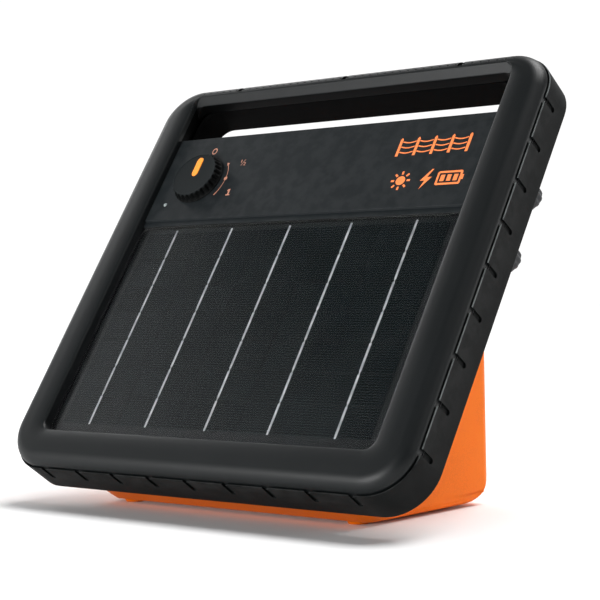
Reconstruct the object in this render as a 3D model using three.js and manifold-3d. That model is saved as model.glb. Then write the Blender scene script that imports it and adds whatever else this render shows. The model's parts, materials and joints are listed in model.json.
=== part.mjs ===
// Solar fence energizer: a sloping black case with a solar panel and a mode dial in its face, a
// carrying handle along its top edge, and an orange battery base behind it. Millimetres, +Z up.
//
// Two frames are used. The "face" frame lies on the plane of the solar cells: u runs to the right,
// v runs up the slope and k runs out of the face. The "body" frame is upright, with X to the right,
// Y to the back and Z up. Both start at the middle of the solar cells.

import * as THREE from 'three';
import { mergeVertices } from 'three/addons/utils/BufferGeometryUtils.js';
import Module from 'manifold-3d';

const wasm = await Module();
wasm.setup();

// ---- driving dimensions -------------------------------------------------------------------------

const slope = THREE.MathUtils.degToRad(55);
const cellCentre = new THREE.Vector3(0, -37.69, 121);
const fit = 0.3;

const housing = { halfWidth: 168.3, low: -115.4, high: 213.4, radius: 31, back: -27, rim: -1, wall: 3 };
const rebate = { wall: 0.9, floor: -6 };
const bezel = {
  halfWidth: 167, low: -114.1, high: 212.1, radius: 30, foot: -4.5, rollStart: 0, face: 9,
};
const windowEdge = { halfWidth: 140.7, low: -89, high: 197.4, radius: 8, wall: 3 };
const tray = { floor: -2, high: 85.2 };
const leadHole = { u: 8, v: 72, radius: 2.5 };
const fasciaFloor = { halfWidth: 141, top: 0.7, under: -1.8, high: 165.3, wall: 3 };
const handle = {
  halfWidth: 137, low: 165.6, high: 197.4, topRadius: 12, lowRadius: 2, wall: 3,
  chamferHigh: 203, chamferLow: 4,
};
const groove = {
  width: 3.5, depth: 1.5, end: -14, count: 9, sidePitch: 32.4, sideMiddle: 45.7, lowPitch: 32.6,
};
const gasket = { outside: 0.1, inside: 1.4 };
const baseWindow = { halfWidth: 92, low: -90, high: 134, radius: 10 };

const cell = { columns: 5, rows: 7, pitchU: 52.4, pitchV: 22.7, width: 51.9, top: -0.1, thick: 0.4 };
const glass = { halfWidth: 140.2, low: -88.5, high: 84.9, under: 0.2, top: 1.4, radius: 7.5 };
const backsheet = { halfWidth: 139, low: -87, high: 83.5, under: -1.7, top: -0.8, radius: 6 };
const fascia = {
  halfWidth: 140.4, low: 85.3, step: 89.6, stepEnd: 90.6, high: 165, under: 1, ledge: 1.7, top: 3,
};

const dial = { u: -103.5, v: 125.3, base: 3.4, top: 10.2, skirt: 21, face: 18.5, bore: 8.6, hole: 5.5 };
const pointer = { start: -1.2, length: 16.6, width: 5.6, thick: 0.8 };
const shaft = { radius: 3, low: -7.4, high: 8.2 };
const switchBody = { size: 24, low: -8, high: -2.2 };
const led = { u: -127, v: 104.3, radius: 1.5 };

const board = { left: -134, right: 72, low: 96, high: 156, back: -9.9, front: -8.3 };
const partTop = board.back - fit;
const solder = partTop - fit;

const caseScrew = { u: 153, rows: [-70, 25, 180], head: 3.5, headHigh: 2.4, shank: 1.6, tip: 3 };
const baseScrew = { u: 102, rows: [-85, 125], seat: -31.3, tip: -15.5, column: 6, recess: 4.2 };
const boss = { radius: 4.5, bore: 1.9, baseTop: -14 };

const terminal = { u: 151.5, fenceV: 126.5, earthV: 77.5, stud: 3, tip: -41.5, knob: 10, knobEnd: -44 };

const base = {
  floor: -119, rear: 108, toe: -20, toeTop: -42, toeHigh: -105, top: 115, rim: -28.3, shoulder: 138,
};
const baseSide = {
  front: 113, rear: 120.4, corner: 12, heel: 30, neck: 5, lowInset: 4, lowHigh: 6, wall: 2.5,
};
const foot = { x: 96, front: -12, rearX: 92, rear: 68, radius: 7, drop: 2 };
const battery = { halfWidth: 75.5, front: 27, rear: 92, low: -112.2, high: -18.2 };
const tab = { x: 60, y: 38, width: 4.8, thick: 0.8, high: 6.4 };

// ---- finishes ------------------------------------------------------------------------------------

const colours = {
  blackPlastic: [0x26292b, 0.45, 0],
  orangePlastic: [0xf07a26, 0.45, 0],
  pointerOrange: [0xf5a032, 0.5, 0],
  rubber: [0x17181a, 0.85, 0],
  glass: [0x10151a, 0.08, 0],
  cell: [0x0b0f18, 0.3, 0.2],
  sheet: [0x15181a, 0.6, 0],
  steel: [0xb9bcbe, 0.35, 1],
  brass: [0xc2a060, 0.35, 1],
  copper: [0xb26a3a, 0.4, 1],
  board: [0x1f5a36, 0.5, 0],
  coreSteel: [0x55585c, 0.5, 0.8],
  capacitor: [0x2f5f9a, 0.5, 0],
  darkPlastic: [0x1b1c1e, 0.55, 0],
  batteryCase: [0x3a3d42, 0.55, 0],
  redLead: [0xb22222, 0.5, 0],
  blackLead: [0x161616, 0.5, 0],
  clear: [0xd8dfe2, 0.15, 0],
};

function finish(name) {
  const [color, roughness, metalness] = colours[name];
  return new THREE.MeshStandardMaterial({ color, roughness, metalness });
}

// ---- shape helpers -------------------------------------------------------------------------------

function solid(geometry) {
  const bare = geometry.index ? geometry.clone() : geometry;
  bare.deleteAttribute('normal');
  bare.deleteAttribute('uv');
  const merged = mergeVertices(bare, 1e-4);
  const vertProperties = new Float32Array(merged.attributes.position.array);
  const triVerts = new Uint32Array(merged.index.array);
  return new wasm.Manifold(new wasm.Mesh({ numProp: 3, vertProperties, triVerts }));
}

function geometryOf(shape) {
  const { vertProperties, triVerts } = shape.getMesh();
  const geometry = new THREE.BufferGeometry();
  geometry.setAttribute('position', new THREE.BufferAttribute(new Float32Array(vertProperties), 3));
  geometry.setIndex(new THREE.BufferAttribute(new Uint32Array(triVerts), 1));
  const flat = geometry.toNonIndexed();
  flat.computeVertexNormals();
  return flat;
}

function roundedRect(halfWidth, low, high, radius, steps = 6, lowRadius = radius) {
  const corners = [[halfWidth, high, 0], [-halfWidth, high, 1], [-halfWidth, low, 2], [halfWidth, low, 3]];
  const points = [];
  for (const [x, y, turn] of corners) {
    const round = turn < 2 ? radius : lowRadius;
    const centreX = x - Math.sign(x) * round;
    const centreY = turn < 2 ? y - round : y + round;
    for (let i = 0; i <= steps; i += 1) {
      const angle = (turn + i / steps) * Math.PI / 2;
      points.push(new THREE.Vector2(
        centreX + round * Math.cos(angle), centreY + round * Math.sin(angle),
      ));
    }
  }
  return new THREE.Shape(points);
}

function ring(outer, inner) {
  outer.holes.push(new THREE.Path(inner.getPoints()));
  return outer;
}

function plate(shape, from, to) {
  const geometry = new THREE.ExtrudeGeometry(shape, { depth: to - from, bevelEnabled: false });
  return solid(geometry.translate(0, 0, from));
}

function rectPlate(left, right, low, high, from, to) {
  const geometry = new THREE.BoxGeometry(right - left, high - low, to - from);
  return solid(geometry.translate((left + right) / 2, (low + high) / 2, (from + to) / 2));
}

function turned(points, sides) {
  const profile = points.map(([r, z]) => new THREE.Vector2(r, z));
  return solid(new THREE.LatheGeometry(profile, sides).rotateX(Math.PI / 2));
}

function disc(radius, from, to, sides = 16) {
  return turned([[0, from], [radius, from], [radius, to], [0, to]], sides);
}

function washer(inner, outer, from, to, sides = 16) {
  return turned([[inner, from], [outer, from], [outer, to], [inner, to], [inner, from]], sides);
}

function acrossProfile(points, halfWidth) {
  // An outline in (Y, Z), or in (v, k), pushed out along X to both sides.
  const shape = new THREE.Shape(points.map(([a, b]) => new THREE.Vector2(a, b)));
  const geometry = new THREE.ExtrudeGeometry(shape, { depth: 2 * halfWidth, bevelEnabled: false });
  geometry.translate(0, 0, -halfWidth);
  geometry.rotateY(Math.PI / 2).rotateX(Math.PI / 2);
  return solid(geometry);
}

function join(shapes) {
  return shapes.reduce((total, next) => total.add(next));
}

function cut(shape, tools) {
  return tools.reduce((rest, tool) => rest.subtract(tool), shape);
}

const group = new THREE.Group();
const face = new THREE.Group();
face.position.copy(cellCentre);
face.rotation.x = slope;
const body = new THREE.Group();
body.position.copy(cellCentre);
group.add(face, body);

function place(parent, name, shape, finishName) {
  const mesh = new THREE.Mesh(geometryOf(shape), finish(finishName));
  mesh.name = name;
  parent.add(mesh);
}

// ---- front: bezel, fascia, gasket ----------------------------------------------------------------

const caseScrewPlaces = caseScrew.rows.flatMap((v) => [[-caseScrew.u, v], [caseScrew.u, v]]);
const baseScrewPlaces = baseScrew.rows.flatMap((v) => [[-baseScrew.u, v], [baseScrew.u, v]]);

function frontBezel() {
  const roll = bezel.face - bezel.rollStart;
  const outline = roundedRect(bezel.halfWidth, bezel.low, bezel.high, bezel.radius, 7);
  const options = { depth: bezel.rollStart - bezel.foot, bevelSize: roll, bevelOffset: -roll };
  const crown = new THREE.ExtrudeGeometry(outline, { ...options, bevelThickness: roll, bevelSegments: 4 });
  const wide = roundedRect(bezel.halfWidth + 5, bezel.low - 5, bezel.high + 5, bezel.radius);
  const shell = cut(solid(crown.translate(0, 0, bezel.foot)), [plate(wide, bezel.foot - 20, bezel.foot)]);

  const edge = windowEdge;
  const windowPocket = plate(roundedRect(edge.halfWidth, edge.low, edge.high, edge.radius), tray.floor, 20);
  const dish = shell.subtract(windowPocket);
  const { halfWidth, top, under, high, wall } = fasciaFloor;
  const raisedFloor = rectPlate(-halfWidth, halfWidth, tray.high, high, bezel.foot, top);
  const handGap = rectPlate(-edge.halfWidth, edge.halfWidth, high, 180, -10, 20);
  const upperGap = plate(roundedRect(edge.halfWidth, 120, edge.high, edge.radius), -10, 20);
  const keepFascia = rectPlate(-200, 200, 100, high, -11, 21);
  const chamfer = acrossProfile([
    [edge.high - 8, handle.chamferLow - 8 * 0.9], [handle.chamferHigh, bezel.face],
    [handle.chamferHigh, 20], [edge.high - 8, 20],
  ], edge.halfWidth);

  const channelOutline = roundedRect(bezel.halfWidth - 5, bezel.low + 5, bezel.high - 5, bezel.radius - 5);
  const innerWall = roundedRect(
    edge.halfWidth + edge.wall, edge.low - edge.wall, edge.high + edge.wall, edge.radius + edge.wall,
  );
  const channel = plate(ring(channelOutline, innerWall), -10, bezel.face - 3.5);
  const inside = halfWidth - wall - 1;
  const underFascia = rectPlate(-inside, inside, tray.high + wall, high - wall, -10, under);
  const bosses = caseScrewPlaces.map(([u, v]) => disc(boss.radius, bezel.foot, 6).translate([u, v, 0]));
  const bores = caseScrewPlaces.map(([u, v]) => disc(boss.bore, -10, 4, 10).translate([u, v, 0]));
  const dialHole = disc(dial.hole, -10, 10).translate([dial.u, dial.v, 0]);
  const ledHole = disc(led.radius + fit, -10, 10, 10).translate([led.u, led.v, 0]);
  const leadHoles = [-leadHole.u, leadHole.u].map((u) => (
    disc(leadHole.radius, -10, 0, 10).translate([u, leadHole.v, 0])
  ));

  const openings = [handGap, upperGap.subtract(keepFascia), chamfer, channel, underFascia];
  const hollow = cut(dish.add(raisedFloor), openings);
  return cut(join([hollow, ...bosses]), [...bores, dialHole, ledHole, ...leadHoles]);
}

function controlFascia() {
  const { low, step, stepEnd, high, under, ledge, top } = fascia;
  const profile = [[low, under], [high, under], [high, top], [stepEnd, top], [step, ledge], [low, ledge]];
  const strip = acrossProfile(profile, fascia.halfWidth);
  const dialHole = disc(dial.hole, -10, 10).translate([dial.u, dial.v, 0]);
  const ledHole = disc(led.radius + fit, -10, 10, 10).translate([led.u, led.v, 0]);
  return cut(strip, [dialHole, ledHole]);
}

function caseGasket() {
  const [outer, inner] = [gasket.outside, gasket.inside].map((inset) => roundedRect(
    bezel.halfWidth - inset, bezel.low + inset, bezel.high - inset, bezel.radius - inset,
  ));
  return plate(ring(outer, inner), rebate.floor + fit, bezel.foot - fit);
}

place(face, 'front_bezel', frontBezel(), 'blackPlastic');
place(face, 'control_fascia', controlFascia(), 'blackPlastic');
place(face, 'case_gasket', caseGasket(), 'rubber');

// ---- rear housing --------------------------------------------------------------------------------

function grooveCutter() {
  // A round-ended slot lying on the case's rim, opening to +X, to be turned to each side.
  const half = groove.width / 2;
  const shape = new THREE.Shape();
  shape.moveTo(2, -half);
  shape.lineTo(2, half);
  shape.lineTo(groove.end + half, half);
  shape.absarc(groove.end + half, 0, half, Math.PI / 2, Math.PI * 1.5, false);
  const points = shape.extractPoints(2).shape;
  const geometry = new THREE.ExtrudeGeometry(new THREE.Shape(points), { depth: 6, bevelEnabled: false });
  return solid(geometry.rotateY(-Math.PI / 2).translate(6 - groove.depth, 0, 0));
}

function grooveCutters() {
  const one = grooveCutter();
  const list = [];
  const middle = (groove.count - 1) / 2;
  for (let i = 0; i < groove.count; i += 1) {
    const v = groove.sideMiddle + (i - middle) * groove.sidePitch;
    const u = (i - middle) * groove.lowPitch;
    list.push(one.translate([housing.halfWidth, v, 0]));
    list.push(one.rotate([0, 0, 180]).translate([-housing.halfWidth, v, 0]));
    list.push(one.rotate([0, 0, -90]).translate([u, housing.low, 0]));
    if (i % 3 === 1) list.push(one.rotate([0, 0, 90]).translate([u, housing.high, 0]));
  }
  return list;
}

function rearHousing() {
  const { halfWidth, low, high, radius, back, rim, wall } = housing;
  const thin = rebate.wall;
  const outer = plate(roundedRect(halfWidth, low, high, radius, 7), back, rim);
  const inset = (depth) => (
    roundedRect(halfWidth - depth, low + depth, high - depth, radius - depth, 7)
  );
  const cavity = plate(inset(wall), back + wall, 0);
  const step = plate(inset(thin), rebate.floor, 0);
  const gapOutline = (grow) => roundedRect(
    handle.halfWidth + grow, handle.low - grow, handle.high + grow,
    handle.topRadius + grow, 6, handle.lowRadius + grow,
  );
  const gap = gapOutline(0);
  const lining = gapOutline(handle.wall);
  const tunnel = plate(lining, back + 1, bezel.foot - fit);
  const window = roundedRect(baseWindow.halfWidth, baseWindow.low, baseWindow.high, baseWindow.radius);
  const opening = plate(window, back - 1, back + 4);
  const caseBosses = caseScrewPlaces.map(([u, v]) => (
    disc(boss.radius, back + 1, bezel.foot - fit).translate([u, v, 0])
  ));
  const baseBosses = baseScrewPlaces.map(([u, v]) => (
    disc(boss.radius, back + 1, boss.baseTop).translate([u, v, 0])
  ));
  const posts = [[-125, 150], [66, 150], [-125, 99]].map(([u, v]) => (
    disc(3, back + 1, partTop, 10).translate([u, v, 0])
  ));
  const bores = [...caseScrewPlaces, ...baseScrewPlaces].map(([u, v]) => (
    disc(boss.bore, back - 1, 0, 10).translate([u, v, 0])
  ));
  const sinks = caseScrewPlaces.map(([u, v]) => (
    disc(caseScrew.head + 0.6, back - 1, back + 3).translate([u, v, 0])
  ));
  const studs = [terminal.fenceV, terminal.earthV].map((v) => (
    disc(terminal.stud + 0.4, back - 1, 0).translate([terminal.u, v, 0])
  ));
  const shell = join([cut(outer, [cavity, step]), tunnel, ...caseBosses, ...baseBosses, ...posts]);
  const holes = [plate(gap, back - 1, 0), opening, ...bores, ...sinks, ...studs, ...grooveCutters()];
  return cut(shell, holes);
}

place(face, 'rear_housing', rearHousing(), 'blackPlastic');

// ---- solar panel ---------------------------------------------------------------------------------

function sheet(size) {
  return plate(roundedRect(size.halfWidth, size.low, size.high, size.radius, 4), size.under, size.top);
}

function cellString() {
  const half = cell.width / 2;
  const high = cell.rows * cell.pitchV / 2 - 0.3;
  return rectPlate(-half, half, -high, high, cell.top - cell.thick, cell.top);
}

place(face, 'solar_glass', sheet(glass), 'glass');
place(face, 'solar_backsheet', sheet(backsheet), 'sheet');
for (let column = 0; column < cell.columns; column += 1) {
  const u = (column - (cell.columns - 1) / 2) * cell.pitchU;
  place(face, `cell_string_${column + 1}`, cellString().translate([u, 0, 0]), 'cell');
}

// ---- mode dial and indicator ---------------------------------------------------------------------

function pointerShape(grow) {
  const radius = pointer.width / 2 + grow;
  const low = pointer.start + pointer.width / 2;
  const high = pointer.start + pointer.length - pointer.width / 2;
  const shape = new THREE.Shape();
  shape.absarc(0, high, radius, 0, Math.PI, false);
  shape.absarc(0, low, radius, Math.PI, Math.PI * 2, false);
  return new THREE.Shape(shape.extractPoints(6).shape);
}

function modeKnob() {
  const { base: low, top, skirt, face: flat, bore } = dial;
  const profile = [
    [0, low], [skirt, low], [skirt, low + 1.6], [flat + 0.9, top - 0.9], [flat, top], [0, top],
  ];
  const knob = turned(profile, 36);
  const shaftHole = disc(shaft.radius + fit, low - 1, bore);
  return cut(knob, [shaftHole, plate(pointerShape(fit), top - pointer.thick - fit, top + 1)]);
}

const atDial = [dial.u, dial.v, 0];
const pointerInlay = plate(pointerShape(0), dial.top - pointer.thick, dial.top);
const half = switchBody.size / 2;
const switchBlock = rectPlate(-half, half, -half, half, switchBody.low, switchBody.high);
place(face, 'mode_knob', modeKnob().translate(atDial), 'blackPlastic');
place(face, 'knob_pointer', pointerInlay.translate(atDial), 'pointerOrange');
place(face, 'switch_shaft', disc(shaft.radius, shaft.low, shaft.high).translate(atDial), 'steel');
const switchHole = disc(shaft.radius + fit, -20, 20);
place(face, 'switch_body', switchBlock.subtract(switchHole).translate(atDial), 'darkPlastic');
place(face, 'knob_seal', washer(3.3, 5.2, -1.5, 2.6).translate(atDial), 'rubber');
place(face, 'led_lens', disc(led.radius, -4.3, 3.4, 12).translate([led.u, led.v, 0]), 'clear');
place(face, 'led_emitter', disc(led.radius, -8, -4.6, 12).translate([led.u, led.v, 0]), 'clear');

// ---- electronics ---------------------------------------------------------------------------------

function transformerCore(u, v) {
  const frame = rectPlate(-25, 25, -17, 17, -32, -18);
  const windows = [-1, 1].map((side) => rectPlate(-5, 5, -10, 10, -40, 0).translate([side * 12, 0, 0]));
  return cut(frame, windows).translate([u, v, 0]);
}

function transformerCoil(u, v) {
  const winding = rectPlate(-16.7, 16.7, -9.7, 9.7, -36.5, -13.5);
  const leg = rectPlate(-7.3, 7.3, -20, 20, -32.3, -17.7);
  return winding.subtract(leg).translate([u, v, 0]);
}

function heatSink() {
  const block = rectPlate(-92, -80, 100, 122, -24, partTop);
  const gaps = [103.5, 108.5, 113.5, 118.5].map((v) => rectPlate(-89.5, -70, v - 1.5, v + 1.5, -30, -13));
  return cut(block, gaps);
}

const boardPlate = rectPlate(board.left, board.right, board.low, board.high, board.back, board.front);
place(face, 'main_board', boardPlate, 'board');
place(face, 'transformer_core', transformerCore(40, 114), 'coreSteel');
place(face, 'transformer_coil', transformerCoil(40, 114), 'copper');
place(face, 'storage_capacitor_1', rectPlate(-32, 6, 97, 127, -28.5, partTop), 'capacitor');
place(face, 'storage_capacitor_2', rectPlate(-74, -36, 97, 127, -28.5, partTop), 'capacitor');
place(face, 'charge_inductor', washer(3.5, 8, -18, partTop).translate([-104, 106, 0]), 'copper');
place(face, 'heat_sink', heatSink(), 'steel');

// ---- battery base --------------------------------------------------------------------------------

function onFace(u, v, k) {
  return new THREE.Vector3(u, v, k).applyAxisAngle(new THREE.Vector3(1, 0, 0), slope);
}

function toBody(shape) {
  return shape.rotate([THREE.MathUtils.radToDeg(slope), 0, 0]);
}

function loft(sections) {
  // Convex outlines stacked up Z, each with the same number of points, closed by a fan at each end.
  const count = sections[0].points.length;
  const positions = sections.flatMap(({ points, z }) => points.flatMap((p) => [p.x, p.y, z]));
  const index = [];
  for (let level = 0; level + 1 < sections.length; level += 1) {
    for (let i = 0; i < count; i += 1) {
      const a = level * count + i;
      const b = level * count + (i + 1) % count;
      index.push(a, b, b + count, a, b + count, a + count);
    }
  }
  const last = (sections.length - 1) * count;
  for (let i = 1; i + 1 < count; i += 1) {
    index.push(0, i + 1, i, last, last + i, last + i + 1);
  }
  const geometry = new THREE.BufferGeometry();
  geometry.setAttribute('position', new THREE.Float32BufferAttribute(positions, 3));
  geometry.setIndex(index);
  return solid(geometry);
}

function roundedCorner(before, corner, after, radius, steps) {
  const toBefore = before.clone().sub(corner).normalize();
  const toAfter = after.clone().sub(corner).normalize();
  const halfAngle = Math.acos(toBefore.dot(toAfter)) / 2;
  const middle = toBefore.clone().add(toAfter).normalize();
  const centre = corner.clone().addScaledVector(middle, radius / Math.sin(halfAngle));
  const first = corner.clone().addScaledVector(toBefore, radius / Math.tan(halfAngle)).sub(centre);
  const last = corner.clone().addScaledVector(toAfter, radius / Math.tan(halfAngle)).sub(centre);
  const turn = first.angleTo(last) * Math.sign(first.cross(last));
  const points = [];
  for (let i = 0; i <= steps; i += 1) {
    points.push(first.clone().rotateAround(new THREE.Vector2(), turn * i / steps).add(centre));
  }
  return points;
}

function basePlan(inset, front) {
  // The outline seen from above: wider at the rear than at the toe.
  const wide = [[1, base.rear - inset], [-1, base.rear - inset]]
    .map(([side, y]) => new THREE.Vector2(side * (baseSide.rear - inset), y));
  const narrow = [[-1, front + inset], [1, front + inset]]
    .map(([side, y]) => new THREE.Vector2(side * (baseSide.front - inset), y));
  const corners = [...wide, ...narrow];
  return corners.flatMap((corner, i) => (
    roundedCorner(corners[(i + 3) % 4], corner, corners[(i + 1) % 4], baseSide.corner - inset, 6)
  ));
}

function baseSections(inset) {
  // Outlines from the floor up: the lower edges are rounded, and the toe leans forward.
  const toeAt = (z) => THREE.MathUtils.mapLinear(z, base.floor, base.toeHigh, base.toe, base.toeTop);
  const edge = [0, 30, 60, 90].map((degrees) => {
    const angle = THREE.MathUtils.degToRad(degrees);
    const z = base.floor + baseSide.lowHigh * (1 - Math.cos(angle));
    const drawnIn = baseSide.lowInset * (1 - Math.sin(angle));
    return { z, points: basePlan(inset + drawnIn, toeAt(z) - drawnIn) };
  });
  const upper = [base.toeHigh, base.top].map((z) => ({ z, points: basePlan(inset, base.toeTop) }));
  return [...edge, ...upper];
}

function wedge(inset, rim) {
  // The base's outer form made smaller by inset on every side but its sloping face, at k = rim.
  const floor = base.floor + inset;
  const rear = base.rear - inset;
  const shoulder = base.shoulder - inset;
  const toe = new THREE.Vector2((floor * Math.cos(slope) - rim) / Math.sin(slope), floor);
  const heel = new THREE.Vector2(rear, floor);
  const neck = new THREE.Vector2(rear, (shoulder - rear * Math.cos(slope)) / Math.sin(slope));
  const peak = new THREE.Vector2(onFace(0, shoulder, rim).y, onFace(0, shoulder, rim).z);
  const heelArc = roundedCorner(toe, heel, neck, baseSide.heel - inset, 8);
  const neckArc = roundedCorner(heel, neck, peak, baseSide.neck - inset, 3);
  const profile = [toe, ...heelArc, ...neckArc, peak].map((p) => [p.x, p.y]);
  return loft(baseSections(inset)).intersect(acrossProfile(profile, 150));
}

function batteryBase() {
  const outer = wedge(0, base.rim);
  const inner = wedge(baseSide.wall, base.rim + 5);
  const columns = baseScrewPlaces.map(([u, v]) => (
    toBody(disc(baseScrew.column, -110, base.rim).translate([u, v, 0])).intersect(outer)
  ));
  const recesses = baseScrewPlaces.map(([u, v]) => (
    toBody(disc(baseScrew.recess, -130, baseScrew.seat).translate([u, v, 0]))
  ));
  const bores = baseScrewPlaces.map(([u, v]) => toBody(disc(boss.bore, -60, 0, 10).translate([u, v, 0])));
  const ribs = [-1, 1].map((side) => (
    rectPlate(-1, 1, battery.front + 5, battery.rear - 5, base.floor + 1, base.floor + 15)
      .translate([side * (battery.halfWidth + 3), 0, 0])
  ));
  const rails = [-1, 1].map((side) => (
    rectPlate(-1.5, 1.5, battery.front + 5, battery.rear - 15, base.floor + 1, battery.low - fit)
      .translate([side * battery.halfWidth * 0.6, 0, 0])
  ));
  const stop = rectPlate(-60, 60, battery.front - 3, battery.front - 1, base.floor + 1, base.floor + 15);
  const feet = [-1, 1].flatMap((side) => [[side * foot.x, foot.front], [side * foot.rearX, foot.rear]])
    .map(([x, y]) => disc(foot.radius, base.floor - foot.drop, base.floor + 1).translate([x, y, 0]));
  const walls = outer.subtract(inner);
  return cut(join([walls, ...columns, ...ribs, ...rails, stop, ...feet]), [...recesses, ...bores]);
}

function baseGasket() {
  const slab = toBody(rectPlate(-150, 150, -150, 200, base.rim + fit, housing.back - fit));
  return wedge(fit, 0).intersect(slab).subtract(wedge(2.2, 10));
}

place(body, 'battery_base', batteryBase(), 'orangePlastic');
place(body, 'base_gasket', baseGasket(), 'rubber');

// ---- battery -------------------------------------------------------------------------------------

function batteryStrap() {
  const inside = battery.halfWidth + fit;
  const outside = inside + 1.2;
  const roof = battery.high + fit;
  const block = rectPlate(-outside, outside, 50, 70, battery.low + 12, roof + 1.2);
  return block.subtract(rectPlate(-inside, inside, 49, 71, -130, roof));
}

function connectorBoot() {
  const sleeve = rectPlate(-4, 4, -3, 3, battery.high + 0.6, battery.high + 13);
  return sleeve.subtract(rectPlate(-2.7, 2.7, -0.7, 0.7, battery.high, battery.high + 7));
}

const cornerless = roundedRect(battery.halfWidth, battery.front, battery.rear, 2, 2);
place(body, 'battery_case', plate(cornerless, battery.low, battery.high), 'batteryCase');
place(body, 'battery_strap', batteryStrap(), 'steel');
for (const [name, side, colour] of [['positive', 1, 'redLead'], ['negative', -1, 'blackLead']]) {
  const at = [side * tab.x, tab.y, 0];
  const low = battery.high + fit;
  const blade = rectPlate(
    -tab.width / 2, tab.width / 2, -tab.thick / 2, tab.thick / 2, low, low + tab.high - 0.2,
  );
  place(body, `battery_tab_${name}`, blade.translate(at), 'brass');
  place(body, `battery_boot_${name}`, connectorBoot().translate(at), colour);
}

// ---- fasteners -----------------------------------------------------------------------------------

function screw(seat, tip) {
  // A pan-head screw along k, its head behind the seat and its shank ahead of it.
  const { head, headHigh, shank } = caseScrew;
  const low = seat - headHigh;
  const profile = [
    [0, low], [head - 0.8, low], [head, low + 0.9], [head, seat], [shank, seat], [shank, tip], [0, tip],
  ];
  return turned(profile, 10).subtract(rectPlate(-0.5, 0.5, -2.4, 2.4, low - 1, low + 1));
}

caseScrewPlaces.forEach(([u, v], i) => {
  const shape = screw(housing.back + 3 - fit, caseScrew.tip).translate([u, v, 0]);
  place(face, `case_screw_${i + 1}`, shape, 'steel');
});
baseScrewPlaces.forEach(([u, v], i) => {
  const shape = screw(baseScrew.seat - fit, baseScrew.tip).translate([u, v, 0]);
  place(face, `base_screw_${i + 1}`, shape, 'steel');
});

// ---- output terminals ----------------------------------------------------------------------------

function lobedOutline(radius, lobes, depth, count) {
  const points = [];
  for (let i = 0; i < count; i += 1) {
    const angle = i / count * Math.PI * 2;
    const reach = radius - depth * (0.5 - 0.5 * Math.cos(angle * lobes));
    points.push(new THREE.Vector2(reach * Math.cos(angle), reach * Math.sin(angle)));
  }
  return new THREE.Shape(points);
}

function terminalKnob() {
  const options = { depth: 10.6, bevelSize: 1, bevelOffset: -1, bevelThickness: 1, bevelSegments: 1 };
  const form = new THREE.ExtrudeGeometry(lobedOutline(terminal.knob, 6, 1.6, 36), options);
  const bore = disc(terminal.stud + fit, -42, -20);
  return solid(form.translate(0, 0, terminal.knobEnd + 1)).subtract(bore);
}

function terminalStud() {
  const shank = disc(terminal.stud, terminal.tip, -20);
  return shank.add(disc(5.5, housing.back + 3 + fit, -19, 6));
}

for (const [name, v] of [['fence', terminal.fenceV], ['earth', terminal.earthV]]) {
  const at = [terminal.u, v, 0];
  const clear = terminal.stud + 0.4;
  place(face, `${name}_stud`, terminalStud().translate(at), 'steel');
  place(face, `${name}_collar`, washer(clear, 8, -29.3, housing.back - fit).translate(at), 'darkPlastic');
  place(face, `${name}_washer`, washer(clear, 7.5, -31.1, -29.6).translate(at), 'steel');
  place(face, `${name}_knob`, terminalKnob().translate(at), 'blackPlastic');
}

// ---- leads held inside the case ------------------------------------------------------------------

function lead(points, radius) {
  const path = new THREE.CatmullRomCurve3(points, false, 'centripetal');
  const section = new THREE.Shape();
  section.absarc(0, 0, radius, 0, Math.PI * 2, false);
  const round = new THREE.Shape(section.getPoints(2).slice(0, 8));
  const steps = Math.max(10, Math.round(path.getLength() / 7));
  return solid(new THREE.ExtrudeGeometry(round, { steps, extrudePath: path }));
}

function faceLead(points, radius) {
  return lead(points.map(([u, v, k]) => onFace(u, v, k)), radius);
}

function batteryLead(side, endU) {
  const bootTop = battery.high + 13 + fit;
  const upright = [[60, 38, bootTop], [60, 38, bootTop + 6], [58, 41, bootTop + 22], [52, 50, 42]];
  const points = upright.map(([x, y, z]) => new THREE.Vector3(side * x, y, z));
  const ends = [[88, -20], [97, -18], [99, -14], [99, solder]];
  points.push(...ends.map(([v, k]) => onFace(endU, v, k)));
  return lead(points, 1.3);
}

const leads = {
  battery_lead_red: [batteryLead(1, 68), 'redLead'],
  battery_lead_black: [batteryLead(-1, -78), 'blackLead'],
  solar_lead_red: [faceLead([
    [8, 72, -2.2], [8, 72, -9], [9, 80, -16], [10, 92, -18], [10, 94, -14], [10, 98, -13], [10, 98, solder],
  ], 0.9), 'redLead'],
  solar_lead_black: [faceLead([
    [-8, 72, -2.2], [-8, 72, -9], [-18, 80, -16], [-34, 92, -18], [-34, 98, -14], [-34, 98, solder],
  ], 0.9), 'blackLead'],
  fence_lead: [faceLead([
    [69, 124, solder], [69, 123, -14], [82, 112, -18], [102, 109, -18], [126, 116, -19.5],
    [140, 126.5, -21], [145, 126.5, -21],
  ], 1.3), 'redLead'],
  earth_lead: [faceLead([
    [69, 108, solder], [69, 106, -14], [84, 95, -18], [110, 86, -18], [134, 77.5, -20.5],
    [140, 77.5, -21], [145, 77.5, -21],
  ], 1.3), 'blackLead'],
};
for (const [name, [shape, colour]] of Object.entries(leads)) place(body, name, shape, colour);

export default group;
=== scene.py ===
"""The looks of a solar fence energizer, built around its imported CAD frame.

Sizes are in millimetres and become metres where a mesh is made. Pieces are made in the face frame (u to
the right, v up the slope, k out of the face) or in the body frame (X to the right, Y to the back, Z up).
Both frames start at the middle of the solar cells, as the CAD model's do.
"""

import json
import math
from collections import namedtuple

import bmesh
import bpy
from mathutils import Matrix, Vector

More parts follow.
